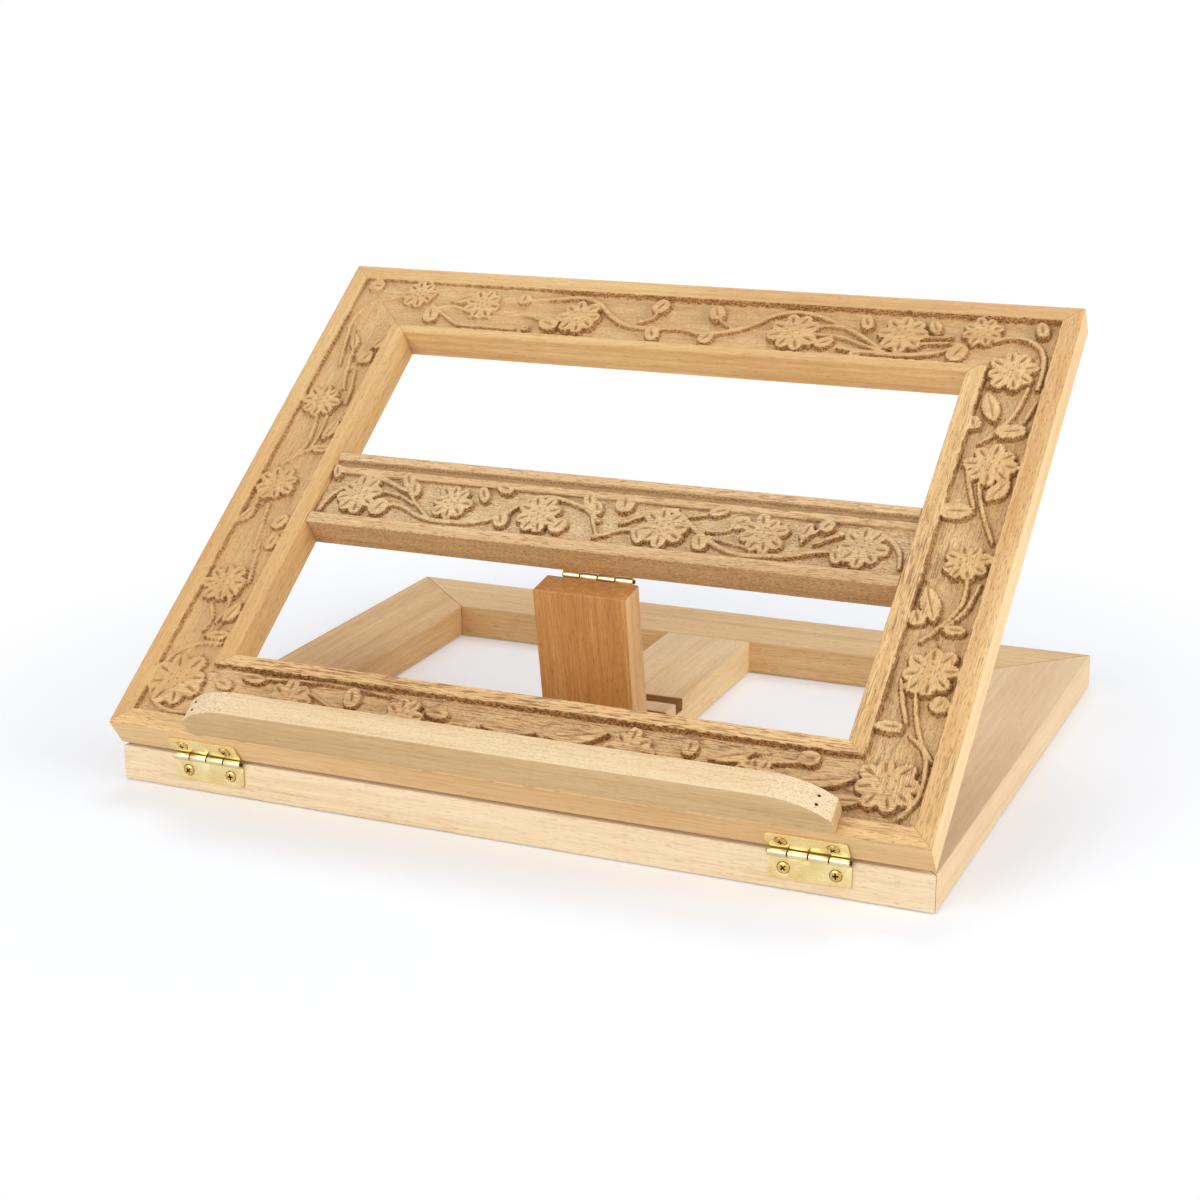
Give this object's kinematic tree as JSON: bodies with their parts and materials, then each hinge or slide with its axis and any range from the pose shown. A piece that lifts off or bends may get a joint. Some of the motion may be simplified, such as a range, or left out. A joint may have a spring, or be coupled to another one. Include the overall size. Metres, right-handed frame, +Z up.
{
  "type": "folding bookstand rack",
  "caption": "Folding wooden book stand: mitred base with a grooved plank, carved hinged book frame with a ledge, and a strut that holds the frame up.",
  "frame": {"origin": "middle of the base's underside, on the surface that the stand rests on", "axes": "+X to the reader's right along the ledge, +Y from the hinged front edge to the back, +Z up"},
  "size_m": [0.368, 0.3093, 0.1973],
  "materials": {
    "carved_wood": "waxed hardwood with burnt-edged carving",
    "base_wood": "sanded pale hardwood, clear wax",
    "strut_wood": "sanded orange-brown hardwood, clear wax",
    "dowel_wood": "plain beech dowel",
    "hinge_brass": "polished, brass plated",
    "screw_brass": "polished, brass plated",
    "brad_steel": "dull bright-drawn wire"
  },
  "bodies": {
    "base": {"base_front_rail": "base_wood", "base_rear_rail": "base_wood", "base_left_rail": "base_wood", "base_right_rail": "base_wood", "base_centre_plank": "base_wood", "base_corner_dowels": "dowel_wood", "base_plank_dowels": "dowel_wood", "left_hinge_base_leaf": "hinge_brass", "right_hinge_base_leaf": "hinge_brass", "left_hinge_pin": "hinge_brass", "right_hinge_pin": "hinge_brass", "left_hinge_base_screws": "screw_brass", "right_hinge_base_screws": "screw_brass"},
    "book_frame": {"frame_bottom_rail": "carved_wood", "frame_top_rail": "carved_wood", "frame_left_stile": "carved_wood", "frame_right_stile": "carved_wood", "frame_middle_rail": "carved_wood", "frame_corner_dowels": "dowel_wood", "frame_middle_dowels": "dowel_wood", "book_ledge": "carved_wood", "ledge_dowels": "dowel_wood", "ledge_brads": "brad_steel", "left_hinge_frame_leaf": "hinge_brass", "right_hinge_frame_leaf": "hinge_brass", "left_hinge_frame_screws": "screw_brass", "right_hinge_frame_screws": "screw_brass", "strut_hinge_rail_leaf": "hinge_brass", "strut_hinge_pin": "hinge_brass", "strut_hinge_rail_screws": "screw_brass"},
    "strut": {"strut_board": "strut_wood", "strut_hinge_strut_leaf": "hinge_brass", "strut_hinge_strut_screws": "screw_brass"}
  },
  "joints": [
    {"name": "frame_fold", "type": "hinge", "parent": "base", "child": "book_frame", "pos_m": [0, -0.146, 0.01615], "axis": [1, 0, 0], "range_deg": [0, 84]},
    {"name": "strut_swing", "type": "hinge", "parent": "book_frame", "child": "strut", "pos_m": [0.002, -0.04417, 0.08625], "axis": [1, 0, 0], "range_deg": [-63.8, 0]}
  ],
  "couplings": [
    {"joint": "strut_swing", "follows": "frame_fold", "ratio": -0.75952}
  ]
}
